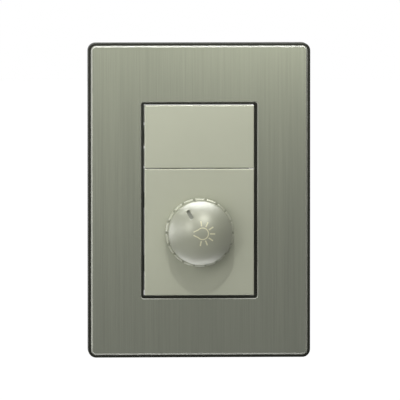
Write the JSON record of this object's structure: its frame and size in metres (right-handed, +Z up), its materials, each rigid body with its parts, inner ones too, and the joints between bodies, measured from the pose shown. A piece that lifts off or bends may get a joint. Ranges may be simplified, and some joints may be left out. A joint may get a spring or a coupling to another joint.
{
  "type": "rotary dimmer switch with wall plate",
  "caption": "Rotary dimmer switch in a metal-faced wall plate: a domed, notched knob on a two-place module beside a blank insert, on a mounting frame screwed to the wall box.",
  "frame": {"origin": "centre of the cover and of the two box screws, on the wall plane", "axes": "+X to the right seen from the room, +Y into the wall, +Z up"},
  "size_m": [0.0848, 0.049, 0.12],
  "materials": {
    "brushed_facing": "vertically brushed, warm grey",
    "black_plastic": "satin moulded",
    "frame_plastic": "moulded, pale grey",
    "zinc_steel": "zinc plated",
    "champagne_plastic": "satin metallic lacquer",
    "housing_plastic": "moulded, black",
    "spring_steel": "bright",
    "shaft_plastic": "moulded",
    "plated_brass": "turned and plated",
    "laminate": "pressed laminate",
    "dark_plastic": "moulded",
    "powder_core": "coated iron powder",
    "copper_wire": "enamelled copper",
    "capacitor_yellow": "potted box",
    "capacitor_red": "dipped film",
    "resistor_body": "lacquered",
    "sink_aluminium": "plain sheet",
    "fuse_glass": "glass tube with plated caps"
  },
  "bodies": {
    "plate": {"facing_plate": "brushed_facing", "cover_frame": "black_plastic", "mounting_frame": "frame_plastic", "box_screws": "zinc_steel", "blank_insert": "champagne_plastic", "dimmer_cover": "champagne_plastic", "module_housing": "housing_plastic", "pot_bushing": "plated_brass", "pot_washer": "zinc_steel", "pot_nut": "plated_brass", "pot_can": "zinc_steel", "pot_wafer": "laminate", "pot_lugs": "plated_brass", "rotary_switch": "dark_plastic", "circuit_board": "laminate", "choke_core": "powder_core", "choke_winding": "copper_wire", "filter_capacitor": "capacitor_yellow", "timing_capacitor": "capacitor_red", "resistors": "resistor_body", "diac": "resistor_body", "triac": "dark_plastic", "triac_screw": "zinc_steel", "heat_sink": "sink_aluminium", "fuse_link": "fuse_glass", "fuse_clips": "plated_brass", "terminal_clamps": "plated_brass", "terminal_screws": "zinc_steel"},
    "dial": {"knob": "champagne_plastic", "knob_ring_spring": "spring_steel", "pot_shaft": "shaft_plastic", "pot_rotor": "shaft_plastic", "pot_wiper": "spring_steel"}
  },
  "joints": [
    {"name": "knob_turn", "type": "hinge", "parent": "plate", "child": "dial", "pos_m": [0, -0.0091, -0.01213], "axis": [0, 1, 0], "range_deg": [-90, 150]}
  ]
}
